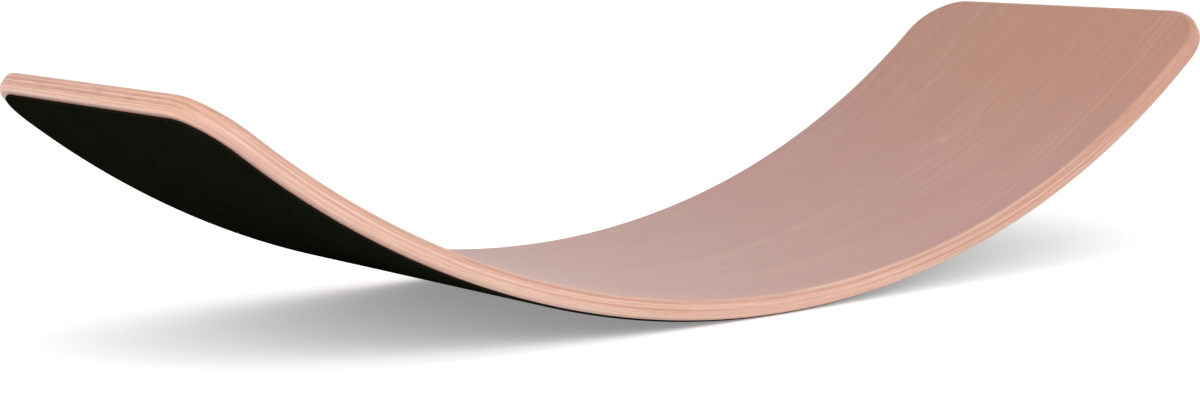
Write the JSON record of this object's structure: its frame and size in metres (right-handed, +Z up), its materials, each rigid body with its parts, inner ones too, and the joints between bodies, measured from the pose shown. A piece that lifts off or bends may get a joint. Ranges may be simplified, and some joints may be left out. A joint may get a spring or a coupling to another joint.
{
  "type": "curved balance board",
  "caption": "Curved rocker board of moulded beech plywood with rounded corners and a black felt sole, for standing, rocking and sitting on, or turning over as a low bridge.",
  "frame": {"origin": "on the floor below the middle of the board, where the felt sole rests", "axes": "+X along the board, +Y across it, +Z up out of the hollow face"},
  "size_m": [0.9, 0.3, 0.1823],
  "materials": {
    "beech_along": "satin lacquer, grain along the board",
    "beech_across": "satin lacquer on cut edges, grain across the board",
    "veneer_glue": "cured resin glue",
    "felt_glue": "cured contact adhesive",
    "felt": "pressed wool felt"
  },
  "bodies": {
    "root": {"face_veneer": "beech_along", "cross_veneer_1": "beech_across", "long_veneer_1": "beech_along", "cross_veneer_2": "beech_across", "centre_veneer": "beech_along", "cross_veneer_3": "beech_across", "long_veneer_2": "beech_along", "cross_veneer_4": "beech_across", "back_veneer": "beech_along", "glue_line_1": "veneer_glue", "glue_line_2": "veneer_glue", "glue_line_3": "veneer_glue", "glue_line_4": "veneer_glue", "glue_line_5": "veneer_glue", "glue_line_6": "veneer_glue", "glue_line_7": "veneer_glue", "glue_line_8": "veneer_glue", "felt_adhesive": "felt_glue", "felt_pad": "felt"}
  },
  "joints": []
}
